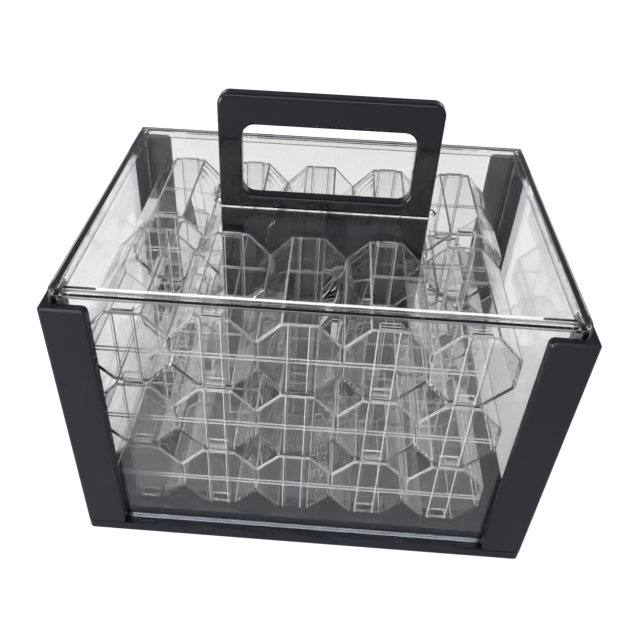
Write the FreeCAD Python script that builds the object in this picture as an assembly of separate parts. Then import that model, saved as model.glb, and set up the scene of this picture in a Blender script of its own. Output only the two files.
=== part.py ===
import FreeCAD, Part
import os

# Clear carry case for poker chips.
# X runs left to right, Y runs front to back, Z is up.
# The origin is the centre of the case's footprint, on the surface it stands on.
# All sizes are in millimetres.

# ---- chip racks: octagonal tubes side by side, split into a tray and a cover
chip_diameter = 39.0
chip_side_play = 0.7
chip_height_play = 0.4
chip_slant_play = 0.4
layers = 3
tubes = 5
rack_depth = 74.6
skin = 1.2
partition = 1.8
side_wall = 1.6
end_wall = 1.6
seam_drop = 2.0
tongue_height = 1.8
skirt_thickness = 0.75
seam_clearance = 0.1
partition_relief = 0.6
notch_width = 2.2
foot_height = 1.65
pad_height = 1.4
lug_width = 10.0
foot_length = 5.5
pad_length = 3.0
lug_inset = 1.6
lug_columns = (0, 1, 3, 4)
stack_clearance = 0.05
rib_width = 1.2
rib_depth = 0.6
rib_spacing = 10.0

# ---- room round the racks, and where each stack stands in it
end_room = 23.1
wall_gap = 6.9
headroom = 12.6
rack_front_x = -7.1
rack_back_x = -4.1
divider_gap_front = 2.25
divider_gap_back = 2.55

# ---- black base: a bottom plate and the raised floor plate inside the walls
base_height = 6.6
base_corner_r = 3.0
base_edge_chamfer = 0.8
floor_height = 7.55
floor_clearance = 0.2
glue_gap = 0.05

# ---- clear walls, and the black posts that cover their corners
wall_thickness = 3.0
post_leg = 22.0
post_thickness = 4.75
post_drop = 4.45
post_corner_r = 2.0
post_top_r = 2.5
post_bevel = 0.9
post_setback = 0.2

# ---- lid
lid_thickness = 3.0
lid_seat_clearance = 0.05
lid_corner_r = 2.0
lid_edge_r = 0.6
lip_height = 3.0
lip_thickness = 2.0
lip_clearance = 0.4
slot_end_clearance = 3.3
slot_side_clearance = 0.4
mark_r = 0.8
mark_depth = 0.4
mark_inset_x = 0.9
mark_inset_y = 2.3
mark_spacing = 3.6

# ---- black plate that divides the case and rises through the lid as the handle
handle_width = 110.0
handle_thickness = 8.5
handle_corner_r = 6.0
handle_edge_r = 1.8
handle_fit = 0.15
handle_bar = 11.8
grip_height = 14.9
window_height = 37.3
window_rise = 5.9
window_corner_r = 6.5

# ---- countersunk screws that hold the handle plate to the base
screw_r = 2.0
screw_head_r = 3.8
screw_length = 20.0
screw_spacing = 36.0
screw_count = 3
screw_fit = 0.05
screw_bore_spare = 5.6
screw_recess_depth = 1.4
screw_recess_length = 4.0
screw_recess_width = 0.9

# ---- modelling tolerances
same_place = 1e-6
round_end_margin = 0.01

# ---- a tube's outline is an octagon that clears a chip by the plays above
hollow_width = chip_diameter + chip_side_play
hollow_height = chip_diameter + chip_height_play
hollow_flat = 2 ** 0.5 * (chip_diameter + 2 * chip_slant_play) - hollow_height
tube_pitch = hollow_width + partition
tube_height = hollow_height + 2 * skin
tube_flat = hollow_flat + 2 * skin * (2 ** 0.5 - 1)
seam_height = tube_height / 2 - seam_drop
tongue_thickness = end_wall - skirt_thickness - seam_clearance
rebate_height = tongue_height + seam_clearance
rack_length = tube_pitch * tubes - partition + 2 * side_wall
rack_front_y = -handle_thickness / 2 - divider_gap_front - rack_depth
rack_back_y = handle_thickness / 2 + divider_gap_back
layer_height = foot_height + tube_height + pad_height + stack_clearance

# ---- the case is as long, wide and high as the racks and their room need
inside_length = rack_length + end_room
inside_width = 2 * (wall_gap - rack_front_y)
wall_length = inside_length + 2 * wall_thickness
wall_width = inside_width + 2 * wall_thickness
post_overhang = glue_gap + post_thickness + post_setback
base_length = wall_length + 2 * post_overhang
base_width = wall_width + 2 * post_overhang
base_top = base_height
floor_bottom = base_top + glue_gap
floor_top = floor_bottom + floor_height
wall_bottom = base_top + glue_gap
wall_top = floor_top + layers * layer_height + headroom
post_bottom = base_top + glue_gap
post_top = wall_top - post_drop
lid_bottom = wall_top + lid_seat_clearance
lid_top = lid_bottom + lid_thickness
window_width = handle_width - 2 * handle_bar
window_bottom = lid_top + window_rise
handle_top = window_bottom + window_height + grip_height


def block(x0, x1, y0, y1, z0, z1):
    """Box between two corners."""
    return Part.makeBox(x1 - x0, y1 - y0, z1 - z0, FreeCAD.Vector(x0, y0, z0))


def centred_block(length, width, z0, z1, x=0.0, y=0.0):
    """Box centred on x, y."""
    return block(x - length / 2, x + length / 2, y - width / 2, y + width / 2, z0, z1)


def edges_where(shape, test):
    """Edges whose two ends both pass the test; a closed edge is tested at its start."""
    return [e for e in shape.Edges if all(test(v.Point) for v in e.Vertexes)]


def upright_edges(shape):
    """Straight edges that run along Z."""
    return [
        e for e in shape.Edges
        if len(e.Vertexes) == 2
        and abs(e.Vertexes[0].X - e.Vertexes[1].X) < same_place
        and abs(e.Vertexes[0].Y - e.Vertexes[1].Y) < same_place
    ]


def rounded_block(length, width, z0, z1, radius):
    """Centred box with rounded upright corners."""
    shape = centred_block(length, width, z0, z1)
    return shape.makeFillet(radius, upright_edges(shape))


def along_y(points, y0, depth):
    """Solid with an outline in X and Z, extruded along Y."""
    corners = [FreeCAD.Vector(x, y0, z) for x, z in points]
    face = Part.Face(Part.makePolygon(corners + corners[:1]))
    return face.extrude(FreeCAD.Vector(0, depth, 0))


def ring(x, y0, y1, length, inset, thickness, z0, z1):
    """Upright rectangular band, set in from a rack's outline."""
    outer = block(x - length / 2 + inset, x + length / 2 - inset, y0 + inset, y1 - inset, z0, z1)
    deep = inset + thickness
    inner = block(x - length / 2 + deep, x + length / 2 - deep, y0 + deep, y1 - deep, z0, z1)
    return outer.cut(inner)


def screw_xs():
    """Places of the handle screws along X."""
    first = -screw_spacing * (screw_count - 1) / 2
    return [first + screw_spacing * i for i in range(screw_count)]


def countersink(x, radius, head_r, z1):
    """Shank and flush conical head, rising from the underside of the base."""
    head_height = head_r - radius
    shank = Part.makeCylinder(radius, z1, FreeCAD.Vector(x, 0, 0))
    head = Part.makeCone(head_r, radius, head_height, FreeCAD.Vector(x, 0, 0))
    return shank.fuse(head).removeSplitter()


# ---- base
def make_base_plate():
    plate = rounded_block(base_length, base_width, 0, base_top, base_corner_r)
    plate = plate.makeChamfer(base_edge_chamfer, edges_where(plate, lambda p: p.z < same_place))
    for x in screw_xs():
        plate = plate.cut(countersink(x, screw_r + screw_fit, screw_head_r + screw_fit, base_top))
    return plate


def make_floor_plate():
    length = inside_length - 2 * floor_clearance
    width = inside_width - 2 * floor_clearance
    slot = centred_block(
        handle_width + 2 * handle_fit, handle_thickness + 2 * handle_fit, floor_bottom, floor_top
    )
    return centred_block(length, width, floor_bottom, floor_top).cut(slot)


# ---- walls
def make_long_wall(side):
    y_outer = side * wall_width / 2
    y_inner = y_outer - side * wall_thickness
    y0, y1 = min(y_outer, y_inner), max(y_outer, y_inner)
    return block(-wall_length / 2, wall_length / 2, y0, y1, wall_bottom, wall_top)


def make_short_wall(side):
    x_outer = side * wall_length / 2
    x_inner = x_outer - side * wall_thickness
    x0, x1 = min(x_outer, x_inner), max(x_outer, x_inner)
    y_end = inside_width / 2 - glue_gap
    return block(x0, x1, -y_end, y_end, wall_bottom, wall_top)


def make_corner_post(side_x, side_y):
    """L-shaped post outside two walls, modelled at the +X +Y corner and mirrored out."""
    x_in = wall_length / 2 + glue_gap
    y_in = wall_width / 2 + glue_gap
    x_out = base_length / 2 - post_setback
    y_out = base_width / 2 - post_setback
    z0, z1 = post_bottom, post_top
    leg_x, leg_y = x_out - post_leg, y_out - post_leg
    post = block(leg_x, x_out, leg_y, y_out, z0, z1)
    post = post.cut(block(leg_x, x_in, leg_y, y_in, z0, z1))
    corner = edges_where(post, lambda p: abs(p.x - x_out) + abs(p.y - y_out) < same_place)
    post = post.makeFillet(post_corner_r, corner)
    top_edges = edges_where(post, lambda p: abs(p.z - z1) < same_place)
    leg_tips = [
        e for e in top_edges
        if abs(e.CenterOfMass.x - leg_x) < same_place or abs(e.CenterOfMass.y - leg_y) < same_place
    ]
    post = post.makeFillet(post_top_r, leg_tips)
    outside = [
        e for e in post.Edges
        if e.BoundBox.ZMin > z1 - same_place
        and (
            e.BoundBox.XMax > x_out - post_corner_r - same_place
            or e.BoundBox.YMax > y_out - post_corner_r - same_place
        )
        and abs(e.CenterOfMass.x - x_in) > same_place
        and abs(e.CenterOfMass.y - y_in) > same_place
    ]
    post = post.makeChamfer(post_bevel, outside)
    if side_x < 0:
        post = post.mirror(FreeCAD.Vector(0, 0, 0), FreeCAD.Vector(1, 0, 0))
    if side_y < 0:
        post = post.mirror(FreeCAD.Vector(0, 0, 0), FreeCAD.Vector(0, 1, 0))
    return post


# ---- lid
def make_lid():
    plate = rounded_block(wall_length, wall_width, lid_bottom, lid_top, lid_corner_r)
    slot_width = handle_thickness + 2 * slot_side_clearance
    slot_end_r = slot_width / 2 - round_end_margin
    slot_length = handle_width + 2 * slot_end_clearance
    slot = rounded_block(slot_length, slot_width, lid_bottom, lid_top, slot_end_r)
    plate = plate.cut(slot)
    plate = plate.makeFillet(lid_edge_r, edges_where(plate, lambda p: p.z > lid_top - same_place))
    length = inside_length - 2 * lip_clearance
    width = inside_width - 2 * lip_clearance
    lip = centred_block(length, width, lid_bottom - lip_height, lid_bottom)
    lip = lip.cut(
        centred_block(
            length - 2 * lip_thickness, width - 2 * lip_thickness, lid_bottom - lip_height, lid_bottom
        )
    )
    lid = plate.fuse(lip)
    for side_x in (-1, 1):
        for side_y in (-1, 1):
            x = side_x * (inside_length / 2 - mark_inset_x)
            for i in range(2):
                y = side_y * (inside_width / 2 - mark_inset_y - mark_spacing * i)
                mark = Part.makeCylinder(
                    mark_r, mark_depth, FreeCAD.Vector(x, y, lid_top - mark_depth)
                )
                lid = lid.cut(mark)
    return lid.removeSplitter()


# ---- handle plate and its screws
def make_handle_plate():
    half = handle_thickness / 2
    foot = base_top + glue_gap
    plate = block(-handle_width / 2, handle_width / 2, -half, half, foot, handle_top)
    shoulders = edges_where(plate, lambda p: p.z > handle_top - same_place)
    shoulders = [e for e in shoulders if abs(e.Vertexes[0].Y - e.Vertexes[1].Y) > same_place]
    plate = plate.makeFillet(handle_corner_r, shoulders)
    window = block(
        -window_width / 2, window_width / 2, -half, half, window_bottom, window_bottom + window_height
    )
    through = [e for e in window.Edges if abs(e.Vertexes[0].Y - e.Vertexes[1].Y) > same_place]
    plate = plate.cut(window.makeFillet(window_corner_r, through))
    rims = edges_where(plate, lambda p: abs(abs(p.y) - half) < same_place)
    rims = [
        e for e in rims
        if e.BoundBox.YLength < same_place and e.BoundBox.ZMax > foot + same_place
    ]
    plate = plate.makeFillet(handle_edge_r, rims)
    for x in screw_xs():
        bore = Part.makeCylinder(
            screw_r + screw_fit, screw_length + screw_bore_spare - foot, FreeCAD.Vector(x, 0, foot)
        )
        plate = plate.cut(bore)
    return plate


def make_handle_screws():
    screws = []
    for x in screw_xs():
        screw = countersink(x, screw_r, screw_head_r, screw_length)
        for length, width in (
            (screw_recess_length, screw_recess_width),
            (screw_recess_width, screw_recess_length),
        ):
            screw = screw.cut(centred_block(length, width, 0, screw_recess_depth, x))
        screws.append(screw)
    return Part.makeCompound(screws)


# ---- racks
def half_outline(x, z_flat, z_seam, up):
    """Outline of one half of a rack; up is +1 for the tray and -1 for the cover."""
    half_flat = tube_flat / 2
    half_length = rack_length / 2
    end_reach = half_length - tube_pitch * (tubes - 1) / 2 - half_flat
    valley = tube_pitch / 2 - half_flat
    points = [(x - half_length, z_seam), (x - half_length, z_flat + up * end_reach)]
    for i in range(tubes):
        centre = x + (i - (tubes - 1) / 2) * tube_pitch
        points += [(centre - half_flat, z_flat), (centre + half_flat, z_flat)]
        if i < tubes - 1:
            points.append((centre + tube_pitch / 2, z_flat + up * valley))
    points += [(x + half_length, z_flat + up * end_reach), (x + half_length, z_seam)]
    return points


def half_hollow(centre, z_flat, z_seam, up):
    """Outline of the room for chips in one half of a tube."""
    half_width = hollow_width / 2
    half_flat = hollow_flat / 2
    shoulder = skin + half_width - half_flat
    return [
        (centre - half_width, z_seam),
        (centre - half_width, z_flat + up * shoulder),
        (centre - half_flat, z_flat + up * skin),
        (centre + half_flat, z_flat + up * skin),
        (centre + half_width, z_flat + up * shoulder),
        (centre + half_width, z_seam),
    ]


def half_rack(x, y, z_flat, z_seam, up):
    """Thin corrugated shell, open at the seam, with closed ends."""
    shell = along_y(half_outline(x, z_flat, z_seam, up), y, rack_depth)
    for i in range(tubes):
        centre = x + (i - (tubes - 1) / 2) * tube_pitch
        hollow = half_hollow(centre, z_flat, z_seam, up)
        shell = shell.cut(along_y(hollow, y + end_wall, rack_depth - 2 * end_wall))
    return shell


def lugs(x, y, length, z0, z1):
    """Small pads near both ends of the outer tubes' flats."""
    parts = []
    for i in lug_columns:
        centre = x + (i - (tubes - 1) / 2) * tube_pitch
        for y0 in (y + lug_inset, y + rack_depth - lug_inset - length):
            parts.append(block(centre - lug_width / 2, centre + lug_width / 2, y0, y0 + length, z0, z1))
    return parts


def end_ribs(x, y, z0, z1):
    """Pairs of upright ribs on both end walls, one pair on each tube."""
    parts = []
    for i in range(tubes):
        centre = x + (i - (tubes - 1) / 2) * tube_pitch
        for side in (-1, 1):
            rib_x = centre + side * rib_spacing / 2
            for y0 in (y - rib_depth, y + rack_depth):
                parts.append(centred_block(rib_width, rib_depth, z0, z1, rib_x, y0 + rib_depth / 2))
    return parts


def make_tray(x, y, z):
    """Lower half: stands on its feet at z, with a tongue that the cover drops over."""
    z_flat = z + foot_height
    z_seam = z_flat + seam_height
    tray = half_rack(x, y, z_flat, z_seam, 1)
    tongue = ring(
        x, y, y + rack_depth, rack_length, skirt_thickness + seam_clearance,
        tongue_thickness, z_seam - skin, z_seam + tongue_height,
    )
    added = [tongue] + lugs(x, y, foot_length, z, z_flat) + end_ribs(x, y, z_flat, z_seam)
    return tray.multiFuse(added).removeSplitter()


def make_cover(x, y, z):
    """Upper half: its thin skirt drops over the tray's tongue."""
    z_flat = z + foot_height + tube_height
    z_seam = z + foot_height + seam_height + stack_clearance
    cover = half_rack(x, y, z_flat, z_seam, -1)
    rebate = ring(
        x, y, y + rack_depth, rack_length, skirt_thickness,
        end_wall - skirt_thickness + partition_relief, z_seam, z_seam + rebate_height
    )
    cover = cover.cut(rebate)
    for y0 in (y, y + rack_depth - skirt_thickness):
        notch = block(
            x - notch_width / 2, x + notch_width / 2, y0, y0 + skirt_thickness,
            z_seam, z_seam + rebate_height
        )
        cover = cover.cut(notch)
    added = lugs(x, y, pad_length, z_flat, z_flat + pad_height) + end_ribs(x, y, z_seam, z_flat)
    return cover.multiFuse(added).removeSplitter()


def make_parts():
    parts = {
        "base_plate": make_base_plate(),
        "floor_plate": make_floor_plate(),
        "front_wall": make_long_wall(-1),
        "back_wall": make_long_wall(1),
        "left_wall": make_short_wall(-1),
        "right_wall": make_short_wall(1),
        "case_lid": make_lid(),
        "handle_plate": make_handle_plate(),
        "handle_screws": make_handle_screws(),
    }
    for name_y, side_y in (("front", -1), ("back", 1)):
        for name_x, side_x in (("left", -1), ("right", 1)):
            parts[f"corner_post_{name_y}_{name_x}"] = make_corner_post(side_x, side_y)
    for stack, x, y in (("front", rack_front_x, rack_front_y), ("back", rack_back_x, rack_back_y)):
        for layer in range(layers):
            z = floor_top + stack_clearance + layer * layer_height
            parts[f"rack_tray_{stack}_{layer + 1}"] = make_tray(x, y, z)
            parts[f"rack_cover_{stack}_{layer + 1}"] = make_cover(x, y, z)
    return parts


os.makedirs("parts", exist_ok=True)
for node, shape in make_parts().items():
    shape.exportStep(f"parts/{node}.step")
    box = shape.BoundBox
    print(
        f"{node}: {len(shape.Solids)} solid(s), valid {shape.isValid()}, volume {shape.Volume:.0f}, "
        f"x {box.XMin:.2f}..{box.XMax:.2f}, y {box.YMin:.2f}..{box.YMax:.2f}, "
        f"z {box.ZMin:.2f}..{box.ZMax:.2f}"
    )
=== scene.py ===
# %% [markdown]
# # A clear carrying case for poker chips
#
# The case is a box of clear acrylic sheets that stands on a black base, with a black satin post
# on each corner. A tall black plate runs across the middle and comes up through a slot in the
# lid, where its window is the handle. Inside stand two stacks of three clear moulded racks, and
# each rack is a tray with a cover on it.
#
# Every piece has its true shape already in the construction model, so this lesson is about
# light and finish: how clear sheet, moulded clear plastic, glossy black sheet and satin black
# plastic are told apart when almost nothing in the picture has a colour of its own.

# %% Load the construction model
import math

import bpy
from mathutils import Euler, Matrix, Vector


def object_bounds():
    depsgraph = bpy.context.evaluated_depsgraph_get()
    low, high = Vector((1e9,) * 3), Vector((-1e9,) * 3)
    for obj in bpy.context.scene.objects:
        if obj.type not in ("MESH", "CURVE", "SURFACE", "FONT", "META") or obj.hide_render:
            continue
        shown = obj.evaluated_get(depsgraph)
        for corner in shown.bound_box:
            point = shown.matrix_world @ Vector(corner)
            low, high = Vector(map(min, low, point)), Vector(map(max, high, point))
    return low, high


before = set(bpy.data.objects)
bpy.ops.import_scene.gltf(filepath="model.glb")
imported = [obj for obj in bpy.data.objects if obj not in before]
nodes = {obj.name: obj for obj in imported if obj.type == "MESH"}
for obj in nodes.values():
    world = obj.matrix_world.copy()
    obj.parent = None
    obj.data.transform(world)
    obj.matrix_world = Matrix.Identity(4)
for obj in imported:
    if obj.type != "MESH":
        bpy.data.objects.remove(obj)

MM = 0.001

case_low, case_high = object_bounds()
case_size = case_high - case_low
print("pieces:", len(nodes), "size in mm:", [round(side / MM, 1) for side in case_size])

# %% [markdown]
# ## Which finish each piece has
#
# The construction record names a material slot for every node. Grouping the nodes by that name
# gives each finish its list of pieces, so a piece that is added later is painted by itself.
# The other way is to name every piece by hand, which goes stale as soon as one is renamed.

# %% Group the pieces by finish
pieces_of = {}
for name, piece in nodes.items():
    pieces_of.setdefault(piece.data.materials[0].name, []).append(piece)
for finish, members in sorted(pieces_of.items()):
    print(finish, len(members))

# %% [markdown]
# ## Soft edges
#
# A saw or a mould never leaves a perfectly sharp edge, and a thin line of light along each edge
# is what lets the eye find a clear sheet at all. Modelling the rounding in the construction
# would cost thousands of faces. A Bevel modifier does it here instead: the triangles of each
# flat face are joined first, so that only true edges are found, then points that lie closer
# together than any real edge is long are welded, and then the edges are cut.
#
# The bevel isn't clamped. A clamp shrinks every edge of a piece to what its narrowest ledge can
# take, which would leave almost nothing. The widths are kept under half of that ledge instead.
# The cut strips go to a second material slot, because they get a finish of their own below.

# %% Round the edges
SAME_POINT = 0.001 * MM
FLAT_ENOUGH = math.radians(0.5)
SHORTEST_EDGE = 0.2 * MM
SHARP_EDGE = math.radians(35)
BEVEL_STEPS = 2
SHEET_EDGE = 0.3 * MM
RACK_EDGE = 0.28 * MM
EDGE_SLOT = 1
WALLS = ("front_wall", "back_wall", "left_wall", "right_wall")


def soften_edges(piece, width):
    points = piece.modifiers.new("join points", "WELD")
    points.merge_threshold = SAME_POINT
    flats = piece.modifiers.new("join flat faces", "DECIMATE")
    flats.decimate_type = "DISSOLVE"
    flats.angle_limit = FLAT_ENOUGH
    crumbs = piece.modifiers.new("join crumbs", "WELD")
    crumbs.merge_threshold = SHORTEST_EDGE
    bevel = piece.modifiers.new("soft edge", "BEVEL")
    bevel.width = width
    bevel.segments = BEVEL_STEPS
    bevel.limit_method = "ANGLE"
    bevel.angle_limit = SHARP_EDGE
    bevel.use_clamp_overlap = False
    bevel.material = EDGE_SLOT


for name in WALLS:
    soften_edges(nodes[name], SHEET_EDGE)
for piece in pieces_of["clear_rack"]:
    soften_edges(piece, RACK_EDGE)
print("softened:", sum(1 for piece in nodes.values() if piece.modifiers))

# %% [markdown]
# ## Helpers for materials
#
# Every material here is made of nodes. These helpers make a node and feed its inputs, with
# either a plain value or the output of another node, so that each material below reads as a
# short recipe.

# %% Node helpers
def feed(tree, socket, value):
    if isinstance(value, bpy.types.NodeSocket):
        tree.links.new(value, socket)
    elif socket.type == "RGBA" and len(value) == 3:
        socket.default_value = (*value, 1.0)
    else:
        socket.default_value = value


def add_node(tree, kind, **inputs):
    node = tree.nodes.new(kind)
    for name, value in inputs.items():
        feed(tree, node.inputs[name.replace("_", " ")], value)
    return node


def math_node(tree, operation, first, second):
    node = tree.nodes.new("ShaderNodeMath")
    node.operation = operation
    feed(tree, node.inputs[0], first)
    feed(tree, node.inputs[1], second)
    return node.outputs[0]


def remap(tree, value, low, high, to_low=0.0, to_high=1.0):
    limits = {"From_Min": low, "From_Max": high, "To_Min": to_low, "To_Max": to_high}
    node = add_node(tree, "ShaderNodeMapRange", Value=value, **limits)
    node.interpolation_type = "SMOOTHSTEP"
    return node.outputs["Result"]


def mix_colours(tree, amount, first, second):
    node = tree.nodes.new("ShaderNodeMix")
    node.data_type = "RGBA"
    for name, value in (("Factor", amount), ("A", first), ("B", second)):
        feed(tree, node.inputs[name], value)
    return node.outputs["Result"]


def mix_shaders(tree, amount, first, second):
    node = add_node(tree, "ShaderNodeMixShader", Fac=amount)
    feed(tree, node.inputs[1], first.outputs[0])
    feed(tree, node.inputs[2], second.outputs[0])
    return node


def new_material(name):
    material = bpy.data.materials.new(name)
    material.use_nodes = True
    material.node_tree.nodes.clear()
    return material, material.node_tree


def show(tree, shader, kind="ShaderNodeOutputMaterial"):
    add_node(tree, kind, Surface=shader.outputs[0])


# %% [markdown]
# ## Groups
#
# A node group is a recipe that several materials share. It has sockets of its own, so each
# material can ask for other sizes and strengths. The groups below put out only a mask or a
# height, and the shader stays in the material.

# %% Group helpers
def new_group(name, inputs, output):
    group = bpy.data.node_groups.new(name, "ShaderNodeTree")
    for label, value in inputs.items():
        socket = group.interface.new_socket(label, in_out="INPUT", socket_type="NodeSocketFloat")
        socket.default_value = value
    group.interface.new_socket(output, in_out="OUTPUT", socket_type="NodeSocketFloat")
    given = group.nodes.new("NodeGroupInput").outputs
    put_out = group.nodes.new("NodeGroupOutput").inputs[output]
    return group, given, put_out


def use_group(tree, group, settings):
    node = tree.nodes.new("ShaderNodeGroup")
    node.node_tree = group
    for name, value in settings.items():
        node.inputs[name].default_value = value
    return node.outputs[0]


def object_place(tree):
    return add_node(tree, "ShaderNodeTexCoord").outputs["Object"]


def describe(group):
    print(group.name, [item.name for item in group.interface.items_tree])


# %% [markdown]
# ## Handling marks
#
# Glossy sheet is never clean for long: hands leave cloudy patches a few centimetres wide, which
# scatter a little more light than the polish around them. A noise texture, cut so that only its
# highest parts are left, gives such patches, and a finer one breaks them into streaks. Both work
# in object coordinates, which are metres here, so the patches have a real size and don't need an
# unwrapped surface. A larger cover lowers the level at which a mark starts.

# %% The handling marks group
STREAKS_PER_PATCH = 7.0
STREAK_WEIGHT = 0.35
CLEAN_BELOW = 0.92
COVER_DROP = 0.4
MARK_SOFTNESS = 0.22


def make_handling_marks():
    group, given, put_out = new_group(
        "handling marks", {"Patch Size": 0.03, "Cover": 0.5}, "Mask"
    )
    place = object_place(group)
    scale = math_node(group, "DIVIDE", 1.0, given["Patch Size"])
    patches = add_node(group, "ShaderNodeTexNoise", Vector=place, Scale=scale, Detail=2.0)
    finer = math_node(group, "MULTIPLY", scale, STREAKS_PER_PATCH)
    streaks = add_node(group, "ShaderNodeTexNoise", Vector=place, Scale=finer, Detail=4.0)
    streaks = math_node(group, "MULTIPLY", streaks.outputs["Fac"], STREAK_WEIGHT)
    both = math_node(group, "ADD", patches.outputs["Fac"], streaks)
    drop = math_node(group, "MULTIPLY", given["Cover"], COVER_DROP)
    start = math_node(group, "SUBTRACT", CLEAN_BELOW, drop)
    above = math_node(group, "SUBTRACT", both, start)
    feed(group, put_out, remap(group, above, 0.0, MARK_SOFTNESS))
    return group


handling_marks = make_handling_marks()
describe(handling_marks)

# %% [markdown]
# ## Fine scratches
#
# Sheet acrylic is soft, and wiping it leaves hair-thin scratches. Stretching a noise texture
# along one way makes long thin streaks. Two such layers, turned against each other, look like
# the criss-cross of many wipes. The group puts out a height for a Bump node.

# %% The fine scratches group
WIPES = ((0.3, 0.2, 0.5), (-0.6, 0.9, -0.35))
WIPE_STRETCH = (1.0, 14.0, 6.0)
SCRATCH_FROM, SCRATCH_TO = 0.62, 0.70


def make_fine_scratches():
    group, given, put_out = new_group("fine scratches", {"Scale": 60.0, "Depth": 1.0}, "Height")
    place = object_place(group)
    layers = []
    for turn in WIPES:
        turned = add_node(
            group, "ShaderNodeMapping", Vector=place, Rotation=turn, Scale=WIPE_STRETCH
        ).outputs["Vector"]
        noise = add_node(
            group, "ShaderNodeTexNoise", Vector=turned, Scale=given["Scale"], Detail=3.0
        )
        layers.append(remap(group, noise.outputs["Fac"], SCRATCH_FROM, SCRATCH_TO))
    both = math_node(group, "MAXIMUM", *layers)
    feed(group, put_out, math_node(group, "MULTIPLY", both, given["Depth"]))
    return group


fine_scratches = make_fine_scratches()
describe(fine_scratches)

# %% [markdown]
# ## Moulded skin
#
# A moulded surface copies its mould, and it also sinks a little as the plastic shrinks. So it
# has two layers: a slow waviness, which bends what is seen in it or through it, and a fine
# grain. Their heights are added, and each has a strength of its own, which may be nothing.

# %% The moulded skin group
SKIN_LAYERS = (("Wave Size", "Wave Height", 1.0), ("Grain Size", "Grain Height", 3.0))


def make_moulded_skin():
    group, given, put_out = new_group(
        "moulded skin",
        {"Wave Size": 0.02, "Wave Height": 1.0, "Grain Size": 0.0004, "Grain Height": 0.1},
        "Height",
    )
    place = object_place(group)
    heights = []
    for size, height, detail in SKIN_LAYERS:
        scale = math_node(group, "DIVIDE", 1.0, given[size])
        noise = add_node(group, "ShaderNodeTexNoise", Vector=place, Scale=scale, Detail=detail)
        heights.append(math_node(group, "MULTIPLY", noise.outputs["Fac"], given[height]))
    feed(group, put_out, math_node(group, "ADD", *heights))
    return group


moulded_skin = make_moulded_skin()
describe(moulded_skin)

# %% [markdown]
# ## Clear plastic that lets lamps through
#
# Glass in a path tracer bends every ray, so a lamp behind it is found only by luck and the
# picture is full of specks. The usual cure is to let shadow rays pass straight through a plain
# Transparent shader, and to keep the bending glass for what the eye sees. The tint of the two
# is the same, so the shadow of a sheet is as grey as the sheet.
#
# The mirror image on the faces is turned down by `shine`. Two stacks of racks put dozens of
# faces behind each other, and at full strength their reflections of a bright room would add up
# to a white veil.

# %% The clear recipe
def let_lamps_through(tree, body, tint):
    to_lamps = add_node(tree, "ShaderNodeBsdfTransparent", Color=tint)
    is_shadow = add_node(tree, "ShaderNodeLightPath").outputs["Is Shadow Ray"]
    return mix_shaders(tree, is_shadow, body, to_lamps)


def bumped_normal(tree, group, settings, strength, distance):
    height = use_group(tree, group, settings)
    bump = add_node(tree, "ShaderNodeBump", Strength=strength, Distance=distance, Height=height)
    return bump.outputs["Normal"]


def clear_plastic(name, tint, mark_tint, shine, ior, marks, skin):
    material, tree = new_material(name)
    mask = use_group(tree, handling_marks, marks)
    body = add_node(
        tree,
        "ShaderNodeBsdfPrincipled",
        Base_Color=mix_colours(tree, mask, tint, mark_tint),
        Roughness=0.0,
        IOR=ior,
        Transmission_Weight=1.0,
        Specular_Tint=(shine, shine, shine),
        Normal=bumped_normal(tree, **skin),
    )
    show(tree, let_lamps_through(tree, body, tint))
    return material


# %% [markdown]
# ## Clear acrylic sheet
#
# The walls and the lid are 3 mm cast acrylic. It bends light by 1.49 and is nearly without
# colour, with a trace of warm grey through its thickness. Its faces are truly flat, so the bump
# is only the hair scratches, too shallow to blur what is behind.

# %% Clear acrylic
ACRYLIC_IOR = 1.49
SHEET_SCRATCHES = {"Scale": 55.0, "Depth": 1.0}
SCRATCH_DEPTH = 0.02 * MM

clear_acrylic = clear_plastic(
    "clear acrylic sheet",
    tint=(0.98, 0.968, 0.935),
    mark_tint=(0.965, 0.955, 0.925),
    shine=0.6,
    ior=ACRYLIC_IOR,
    marks={"Patch Size": 0.045, "Cover": 0.4},
    skin={
        "group": fine_scratches,
        "settings": SHEET_SCRATCHES,
        "strength": 0.05,
        "distance": SCRATCH_DEPTH,
    },
)
print(clear_acrylic.name, "bends light by", ACRYLIC_IOR)

# %% [markdown]
# ## Moulded rack plastic
#
# The racks are injection-moulded clear polystyrene, with hardly any colour. It bends light more
# than acrylic does, by 1.57 to 1.59, which makes its edges both brighter and darker. The walls
# are thin and never quite flat, so their bump is the waviness of the mould. They get no grain,
# because through many layers a grain is seen as specks.

# %% Rack plastic
RACK_IOR = 1.57

clear_rack = clear_plastic(
    "moulded rack plastic",
    tint=(0.982, 0.98, 0.978),
    mark_tint=(0.97, 0.968, 0.965),
    shine=0.42,
    ior=RACK_IOR,
    marks={"Patch Size": 0.03, "Cover": 0.3},
    skin={
        "group": moulded_skin,
        "settings": {"Wave Size": 0.012, "Wave Height": 1.0, "Grain Height": 0.0},
        "strength": 0.03,
        "distance": 0.06 * MM,
    },
)
print(clear_rack.name, "bends light by", RACK_IOR)

# %% [markdown]
# ## Edges that catch the light
#
# A cut or moulded edge is never as clear as the face beside it. Its fine marks scatter light, so
# it shows as a pale line in front of something dark and as a grey line in front of something
# white. The rounded strips have a finish of their own for that. Those of the sheets are polished
# and stay nearly clear, and those of the racks are mostly milky.

# %% Edge finishes
EDGE_MARKS = {"Patch Size": 0.01, "Cover": 0.5}
EDGE_DULLING = 0.8
EDGE_SHADOW = (0.8, 0.8, 0.8)


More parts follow.
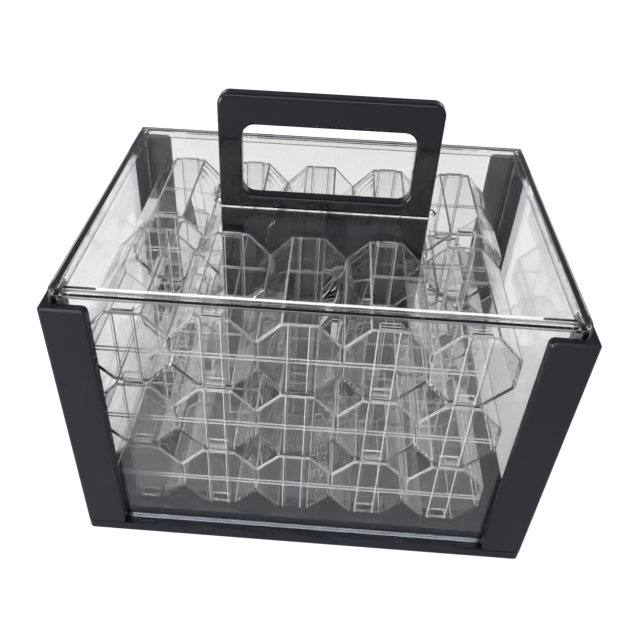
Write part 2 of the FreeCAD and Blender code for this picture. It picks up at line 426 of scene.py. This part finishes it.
def milky_edge(name, colour, clearness, ior, roughness):
    material, tree = new_material(name)
    mask = use_group(tree, handling_marks, EDGE_MARKS)
    dull = tuple(part * EDGE_DULLING for part in colour)
    body = add_node(
        tree,
        "ShaderNodeBsdfPrincipled",
        Base_Color=mix_colours(tree, mask, colour, dull),
        Roughness=roughness,
        IOR=ior,
        Transmission_Weight=clearness,
    )
    show(tree, let_lamps_through(tree, body, EDGE_SHADOW))
    return material


sheet_edge = milky_edge(
    "polished sheet edge",
    colour=(0.88, 0.9, 0.95),
    clearness=0.9,
    ior=ACRYLIC_IOR,
    roughness=0.05,
)
rack_edge = milky_edge(
    "moulded rack edge",
    colour=(0.98, 0.97, 0.98),
    clearness=0.12,
    ior=RACK_IOR,
    roughness=0.2,
)
print("edge finishes:", sheet_edge.name, "and", rack_edge.name)

# %% [markdown]
# ## Black acrylic
#
# The base, the raised floor and the handle plate are cut from black cast acrylic. It has almost
# no colour of its own, so what shows is its gloss: clean reflections, a little dulled where
# hands and racks touched it. Each range of roughness runs from clean to worn.

# %% Black acrylic
def black_plastic(name, colour, worn_colour, roughness, gloss, marks, skin):
    material, tree = new_material(name)
    mask = use_group(tree, handling_marks, marks)
    body = add_node(
        tree,
        "ShaderNodeBsdfPrincipled",
        Base_Color=mix_colours(tree, mask, colour, worn_colour),
        Roughness=remap(tree, mask, 0.0, 1.0, *roughness),
        Specular_IOR_Level=gloss,
        IOR=ACRYLIC_IOR,
        Normal=bumped_normal(tree, **skin),
    )
    show(tree, body)
    return material


black_acrylic = black_plastic(
    "black acrylic sheet",
    colour=(0.006, 0.0062, 0.007),
    worn_colour=(0.010, 0.010, 0.011),
    roughness=(0.04, 0.10),
    gloss=0.4,
    marks={"Patch Size": 0.035, "Cover": 0.5},
    skin={
        "group": fine_scratches,
        "settings": SHEET_SCRATCHES,
        "strength": 0.08,
        "distance": SCRATCH_DEPTH,
    },
)
print(black_acrylic.name, "made")

# %% [markdown]
# ## Satin black posts
#
# The corner posts are black plastic with a satin skin. Its fine grain spreads the highlights
# wide, so the posts look greyer than the glossy sheet beside them, more so towards a lamp.

# %% Satin posts
satin_black = black_plastic(
    "satin black plastic",
    colour=(0.006, 0.0062, 0.0075),
    worn_colour=(0.009, 0.0092, 0.011),
    roughness=(0.34, 0.42),
    gloss=0.42,
    marks={"Patch Size": 0.03, "Cover": 0.45},
    skin={
        "group": moulded_skin,
        "settings": {
            "Wave Size": 0.04,
            "Wave Height": 1.0,
            "Grain Size": 0.0005,
            "Grain Height": 0.12,
        },
        "strength": 0.25,
        "distance": 0.03 * MM,
    },
)
print(satin_black.name, "made")

# %% [markdown]
# ## Blackened screws
#
# Three countersunk screws come up through the base into the handle plate. Their steel is
# blackened, so it is a dark metal with a slightly brighter, smoother look where it is worn.

# %% Blackened steel
def make_blackened_steel():
    material, tree = new_material("blackened steel")
    mask = use_group(tree, handling_marks, {"Patch Size": 0.0025, "Cover": 0.5})
    body = add_node(
        tree,
        "ShaderNodeBsdfPrincipled",
        Base_Color=mix_colours(tree, mask, (0.05, 0.05, 0.055), (0.16, 0.155, 0.15)),
        Metallic=1.0,
        Roughness=remap(tree, mask, 0.0, 1.0, 0.38, 0.26),
    )
    show(tree, body)
    return material


blackened_steel = make_blackened_steel()
print(blackened_steel.name, "made")

# %% [markdown]
# ## Paint the pieces
#
# Each slot name of the record gets its finish, and the softened pieces get the finish of their
# edges as a second slot.

# %% Paint the pieces
finishes = {
    "clear_acrylic": clear_acrylic,
    "clear_rack": clear_rack,
    "black_acrylic": black_acrylic,
    "black_plastic": satin_black,
    "screw_steel": blackened_steel,
}
edge_finishes = {"clear_acrylic": sheet_edge, "clear_rack": rack_edge}
for slot, members in pieces_of.items():
    for piece in members:
        piece.data.materials[0] = finishes[slot]
        if slot in edge_finishes:
            piece.data.materials.append(edge_finishes[slot])
    print(slot, "->", finishes[slot].name)

# %% [markdown]
# ## The floor
#
# The case stands on a white table in a white surround. A lit floor alone comes out light grey,
# so the floor also glows, by how a ray comes to it: most for rays straight from the eye, a
# little less for rays through clear plastic, and hardly at all for mirrored ones, because a
# bright floor in every mirror image hides what is behind the clear faces. The glow adds no
# light to the case, and the floor keeps its shadow.

# %% The floor
FLOOR_REACH = 12.0
FLOOR_COLOUR = (0.52, 0.54, 0.62)
FLOOR_GLOW = {"Is Camera Ray": 0.75, "Is Transmission Ray": 0.6, "Is Glossy Ray": 0.06}


def seen_glow(tree, weights):
    path = add_node(tree, "ShaderNodeLightPath")
    seen = 0.0
    for ray, weight in weights.items():
        weighted = math_node(tree, "MULTIPLY", path.outputs[ray], weight)
        seen = math_node(tree, "MAXIMUM", seen, weighted)
    return seen


def make_floor():
    mesh = bpy.data.meshes.new("floor")
    ways = ((-1, -1), (1, -1), (1, 1), (-1, 1))
    corners = [(x * FLOOR_REACH, y * FLOOR_REACH, 0) for x, y in ways]
    mesh.from_pydata(corners, [], [(0, 1, 2, 3)])
    floor = bpy.data.objects.new("floor", mesh)
    floor.location.z = case_low.z
    bpy.context.scene.collection.objects.link(floor)
    material, tree = new_material("white table")
    matt = add_node(tree, "ShaderNodeBsdfDiffuse", Color=FLOOR_COLOUR)
    glow = add_node(tree, "ShaderNodeEmission", Strength=seen_glow(tree, FLOOR_GLOW))
    both = tree.nodes.new("ShaderNodeAddShader")
    feed(tree, both.inputs[0], matt.outputs["BSDF"])
    feed(tree, both.inputs[1], glow.outputs["Emission"])
    show(tree, both)
    mesh.materials.append(material)


make_floor()
print("floor at", round(case_low.z / MM, 2), "mm, its glow by ray:", FLOOR_GLOW)

# %% [markdown]
# ## The room
#
# Clear plastic is drawn by its edges, and an edge shows only when it bends light from somewhere
# darker or brighter than what is straight behind it. A room that is white all round makes clear
# pieces vanish. So the room is three things. Straight from the eye it is white. For rays that
# were bent or mirrored it is white at the horizon, falls to a mid grey overhead, and is dark in
# the part behind and above that the flat lid mirrors to the eye. For everything else it is a
# soft even light.

# %% The room
WHITE = (1.0, 1.0, 1.0)
ROOM_LIGHT = 0.6
HORIZON = (0.93, 0.95, 1.0)
OVERHEAD = (0.46, 0.49, 0.55)
OVERHEAD_FROM, OVERHEAD_TO = 0.05, 0.4
BEHIND_ABOVE = (0.16, 0.17, 0.20)
BEHIND_WAY = (0.0, 0.757, 0.653)
BEHIND_FROM, BEHIND_TO = 0.75, 0.93


def make_room():
    world = bpy.data.worlds.new("studio")
    world.use_nodes = True
    bpy.context.scene.world = world
    tree = world.node_tree
    tree.nodes.clear()
    way = add_node(tree, "ShaderNodeTexCoord").outputs["Generated"]
    height = add_node(tree, "ShaderNodeSeparateXYZ", Vector=way).outputs["Z"]
    up = remap(tree, height, OVERHEAD_FROM, OVERHEAD_TO)
    shade = mix_colours(tree, up, HORIZON, OVERHEAD)
    towards = tree.nodes.new("ShaderNodeVectorMath")
    towards.operation = "DOT_PRODUCT"
    feed(tree, towards.inputs[0], way)
    feed(tree, towards.inputs[1], BEHIND_WAY)
    behind = remap(tree, towards.outputs["Value"], BEHIND_FROM, BEHIND_TO)
    shade = mix_colours(tree, behind, shade, BEHIND_ABOVE)
    light = add_node(tree, "ShaderNodeBackground", Color=WHITE, Strength=ROOM_LIGHT)
    picture = add_node(tree, "ShaderNodeBackground", Color=shade)
    white = add_node(tree, "ShaderNodeBackground", Color=WHITE)
    path = add_node(tree, "ShaderNodeLightPath").outputs
    bent = math_node(tree, "MAXIMUM", path["Is Glossy Ray"], path["Is Transmission Ray"])
    room = mix_shaders(tree, bent, light, picture)
    room = mix_shaders(tree, path["Is Camera Ray"], room, white)
    show(tree, room, "ShaderNodeOutputWorld")


make_room()
print("room light:", ROOM_LIGHT)

# %% [markdown]
# ## Lamps
#
# Two soft boxes are enough. The key is a wide strip high in front, a little to the left and a
# little blue, and draws a light line on every edge that is turned up to the front. The second
# stands low on the left and gives the left posts their sheen, which leaves the right ones darker.

# %% Place the lamps
LAMPS = {
    "key": {
        "place": (-0.25, -0.85, 1.15),
        "size": (1.5, 0.3),
        "power": 7.0,
        "colour": (0.74, 0.85, 1.0),
    },
    "low left": {
        "place": (-1.1, -0.75, 0.35),
        "size": (0.35, 0.6),
        "power": 15.0,
        "colour": (0.97, 0.98, 1.0),
    },
}


def soft_box(name, place, size, power, colour, target):
    data = bpy.data.lights.new(name, "AREA")
    data.shape = "RECTANGLE"
    data.size, data.size_y = size
    data.energy = power
    data.color = colour
    lamp = bpy.data.objects.new(name, data)
    lamp.location = place
    lamp.rotation_euler = (target - Vector(place)).to_track_quat("-Z", "Y").to_euler()
    lamp.visible_camera = False
    bpy.context.scene.collection.objects.link(lamp)


case_middle = (case_low + case_high) / 2
for name, settings in LAMPS.items():
    soft_box(name, target=case_middle, **settings)
    print(name, settings["power"], "W")

# %% [markdown]
# ## The camera
#
# The case is seen from the front and well above, with a lens a little wider than a standard
# one. The camera is turned a touch sideways and rolled by two degrees, as when held by hand.

# %% Place the camera
CAMERA_PLACE = Vector((0.0019, -0.3408, 0.3444))
CAMERA_TILT = 40.746
CAMERA_HEADING = 2.504
CAMERA_ROLL = 2.340
CAMERA_SENSOR = 36.0
CAMERA_LENS = 39.864
CAMERA_SHIFT = (0.0412, 0.0749)
CAMERA_NEAR, CAMERA_FAR = 0.01, 100.0

camera_data = bpy.data.cameras.new("camera")
camera_data.sensor_width = CAMERA_SENSOR
camera_data.lens = CAMERA_LENS
camera_data.shift_x, camera_data.shift_y = CAMERA_SHIFT
camera_data.clip_start, camera_data.clip_end = CAMERA_NEAR, CAMERA_FAR
camera = bpy.data.objects.new("camera", camera_data)
heading = Euler((0, 0, math.radians(CAMERA_HEADING))).to_matrix()
tilt = Euler((math.radians(90 - CAMERA_TILT), 0, 0)).to_matrix()
roll = Euler((0, 0, math.radians(CAMERA_ROLL))).to_matrix()
camera.matrix_world = (heading @ tilt @ roll).to_4x4()
camera.location = CAMERA_PLACE
bpy.context.scene.collection.objects.link(camera)
bpy.context.scene.camera = camera
print("camera to the middle in mm:", round((camera.location - case_middle).length / MM))

# %% [markdown]
# ## Light paths
#
# A ray that looks through two stacks of clear racks crosses more than thirty faces. The limits
# on bounces have to be above that, or the far side of the case comes out black.
#
# The denoiser is given the picture alone. It could also be given a pass of colours and one of
# normals, but behind many clear layers those passes are noisy themselves, and the noise would
# be kept as a grain.

# %% Path limits and view
DEEPEST_STACK = 48
GLOSSY_BOUNCES = 12
DIFFUSE_BOUNCES = 4

scene = bpy.context.scene
scene.cycles.max_bounces = DEEPEST_STACK
scene.cycles.transmission_bounces = DEEPEST_STACK
scene.cycles.transparent_max_bounces = DEEPEST_STACK
scene.cycles.glossy_bounces = GLOSSY_BOUNCES
scene.cycles.diffuse_bounces = DIFFUSE_BOUNCES
scene.cycles.denoising_input_passes = "RGB"
scene.cycles.caustics_reflective = False
scene.cycles.caustics_refractive = False
scene.view_settings.view_transform = "Standard"
